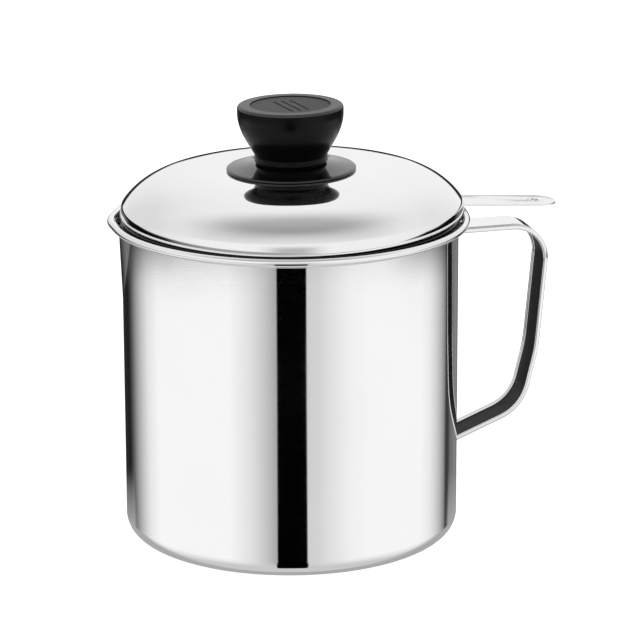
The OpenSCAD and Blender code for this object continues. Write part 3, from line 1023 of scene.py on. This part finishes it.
def lower_walls(n, place, azimuth, elevation):
    """The walls below the horizon, dark at the far sides, and the duller ground under them."""
    walls = around_ramp(n, place, [
        (-180, 60), (-165, 45), (-149, 34), (-144, 62), (-139, 100), (-132, 152), (-125, 188),
        (-115, 227), (-103, 248), (-80, 255), (-58, 253), (-43, 246), (-28, 224), (-18, 197),
        (-10, 166), (9, 204), (18, 209), (27, 223), (41, 240), (56, 248), (85, 252), (100, 247),
        (110, 234), (118, 211), (126, 176), (132, 132), (135, 58), (140, 62), (145, 104),
        (160, 128), (180, 70)])
    aside = n.math("ABSOLUTE", azimuth)
    ground = n.grey_colour(n.spread(aside, 90, 125, grey(198), grey(165)))
    start = n.spread(aside, 134, 142, -19.5, -18.4)
    full = n.math("ADD", n.spread(aside, 100, 130, -50.0, -21.5), n.spread(aside, 134, 142, 0.0, 2.1))
    return n.blend(n.spread(elevation, start, full), walls, ground)


def studio_world():
    """White studio round the object, for the metal. The camera itself sees plain white."""
    world = bpy.data.worlds.new("studio")
    bpy.context.scene.world = world
    world.use_nodes = True
    n = Nodes(world.node_tree)
    x, y, azimuth, elevation = directions(n)
    place = n.spread(azimuth, -180, 180)
    off_middle = n.math("ABSOLUTE", n.math("ADD", azimuth, -0.6))
    seen = upper_walls(n, x, y, place, off_middle, elevation)
    seen = horizon_band(n, place, azimuth, elevation, seen)
    low = lower_walls(n, place, azimuth, elevation)
    seen = n.blend(n.spread(elevation, -15.2, -14.2), low, seen)
    seen = n.blend(dark_strip(n, off_middle, elevation), seen, (0.0, 0.0, 0.0))
    camera = n.add("ShaderNodeLightPath").outputs["Is Camera Ray"]
    back = n.add("ShaderNodeBackground")
    n.join(n.blend(camera, seen, (1.0, 1.0, 1.0)), back.inputs[0])
    n.join(back.outputs[0], n.add("ShaderNodeOutputWorld").inputs[0])


def studio_floor():
    """Pale floor that keeps a soft shadow and lets reflections see the studio."""
    mesh = grid_mesh("floor", [[(x, y, -0.05) for x in (-FLOOR_HALF, FLOOR_HALF)]
                              for y in (-FLOOR_HALF, FLOOR_HALF)])
    floor = new_object("floor", mesh)
    made = bpy.data.materials.new("pale_floor")
    made.use_nodes = True
    n = Nodes(made.node_tree)
    path = n.add("ShaderNodeLightPath")
    matte, glow = n.add("ShaderNodeBsdfDiffuse"), n.add("ShaderNodeEmission")
    matte.inputs[0].default_value = (0.95, 0.95, 0.95, 1)
    glow.inputs[0].default_value = (1, 1, 1, 1)
    glow.inputs[1].default_value = FLOOR_GLOW
    lit = n.add("ShaderNodeAddShader")
    n.join(matte.outputs[0], lit.inputs[0])
    n.join(glow.outputs[0], lit.inputs[1])
    clear = n.add("ShaderNodeMixShader")
    n.join(path.outputs["Is Glossy Ray"], clear.inputs[0])
    n.join(lit.outputs[0], clear.inputs[1])
    n.join(n.add("ShaderNodeBsdfTransparent").outputs[0], clear.inputs[2])
    n.join(clear.outputs[0], n.add("ShaderNodeOutputMaterial").inputs[0])
    mesh.materials.append(made)


def studio_camera():
    """The photograph's viewpoint: a long lens, a little above the lid."""
    a, e = math.radians(CAMERA_AZIMUTH), math.radians(CAMERA_ELEVATION)
    back = Vector((math.sin(a) * math.cos(e), -math.cos(a) * math.cos(e), math.sin(e)))
    data = bpy.data.cameras.new("camera")
    data.sensor_width, data.lens = SENSOR, SENSOR * FOCAL_PIXELS / PICTURE
    data.clip_start, data.clip_end = 0.05, 20
    camera = bpy.data.objects.new("camera", data)
    bpy.context.scene.collection.objects.link(camera)
    camera.location = (Vector((0, 0, AIM_HEIGHT)) + back * CAMERA_DISTANCE) * MM
    aside = math.atan((PICTURE / 2 - AIM_PIXEL[0]) / FOCAL_PIXELS)
    above = math.atan((AIM_PIXEL[1] - PICTURE / 2) / FOCAL_PIXELS)
    look = (-back).to_track_quat("-Z", "Y").to_matrix()
    look = look @ Matrix.Rotation(math.radians(CAMERA_ROLL), 3, "Z")
    look = look @ Matrix.Rotation(-aside, 3, "Y") @ Matrix.Rotation(above, 3, "X")
    camera.rotation_mode = "QUATERNION"
    camera.rotation_quaternion = look.to_quaternion()
    bpy.context.scene.camera = camera


studio_world()
studio_floor()
studio_camera()
bpy.context.scene.view_settings.view_transform = "Standard"
